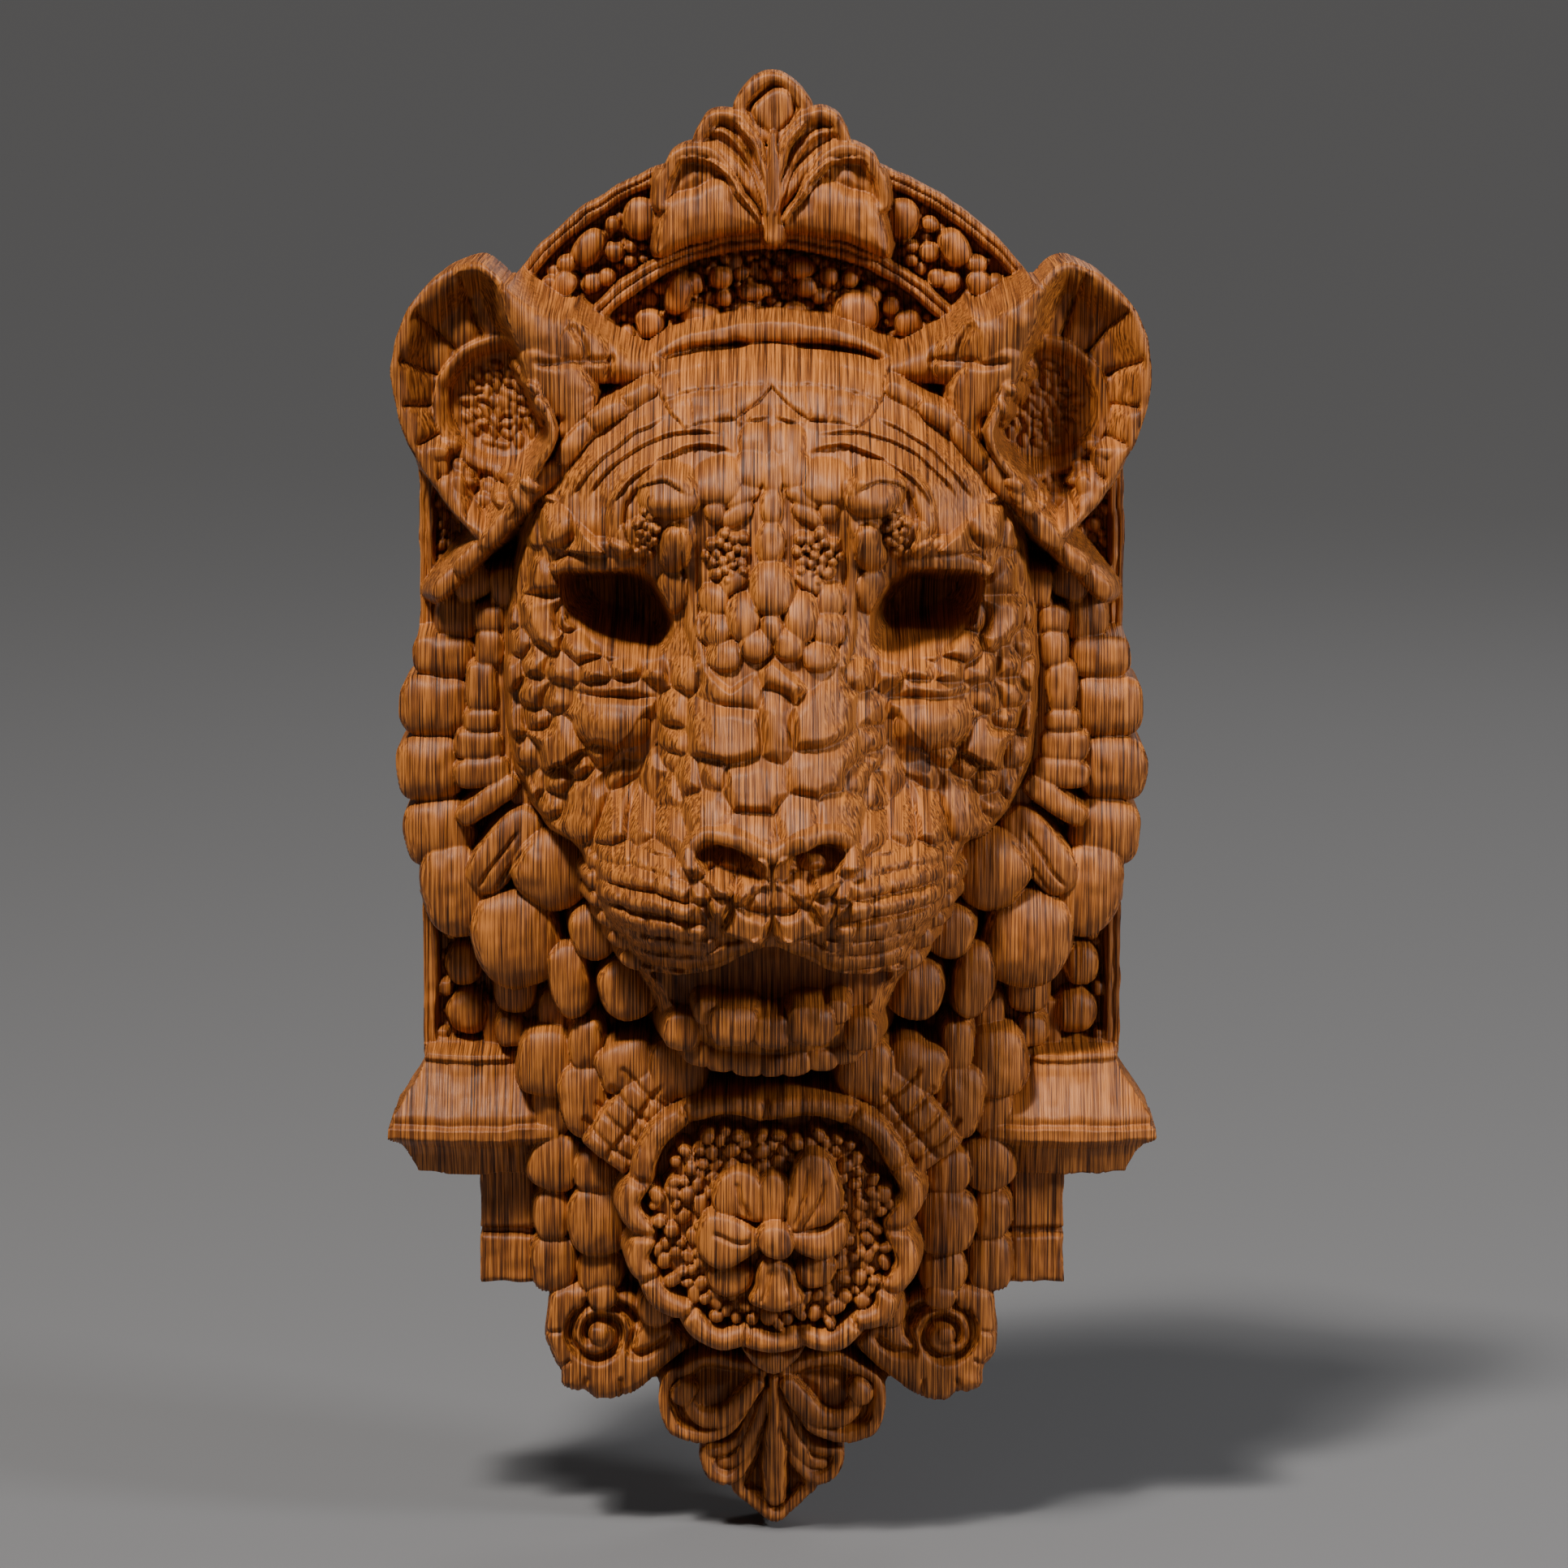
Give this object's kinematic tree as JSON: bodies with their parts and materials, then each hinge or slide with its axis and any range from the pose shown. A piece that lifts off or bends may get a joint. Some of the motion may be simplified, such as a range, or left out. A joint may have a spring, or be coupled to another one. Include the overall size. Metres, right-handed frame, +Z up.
{
  "type": "tiger head relief carving",
  "caption": "Carved wooden wall relief: a tiger head with round ears and a beaded mane on an arched board, with capitals, a rosette, volutes and leaf palmettes.",
  "frame": {"origin": "middle of the flat back that rests on the wall, halfway up the carving", "axes": "+Y out of the back into the wall, +Z up along the carving's height, the face looks along -Y, +X to the right as seen from the front"},
  "size_m": [0.3142, 0.149, 0.6017],
  "materials": {
    "wood": "orange-brown carved hardwood with fine upright grain, darker in the grooves, semi-gloss"
  },
  "bodies": {
    "root": {"tiger_head_relief": "wood"}
  },
  "joints": []
}
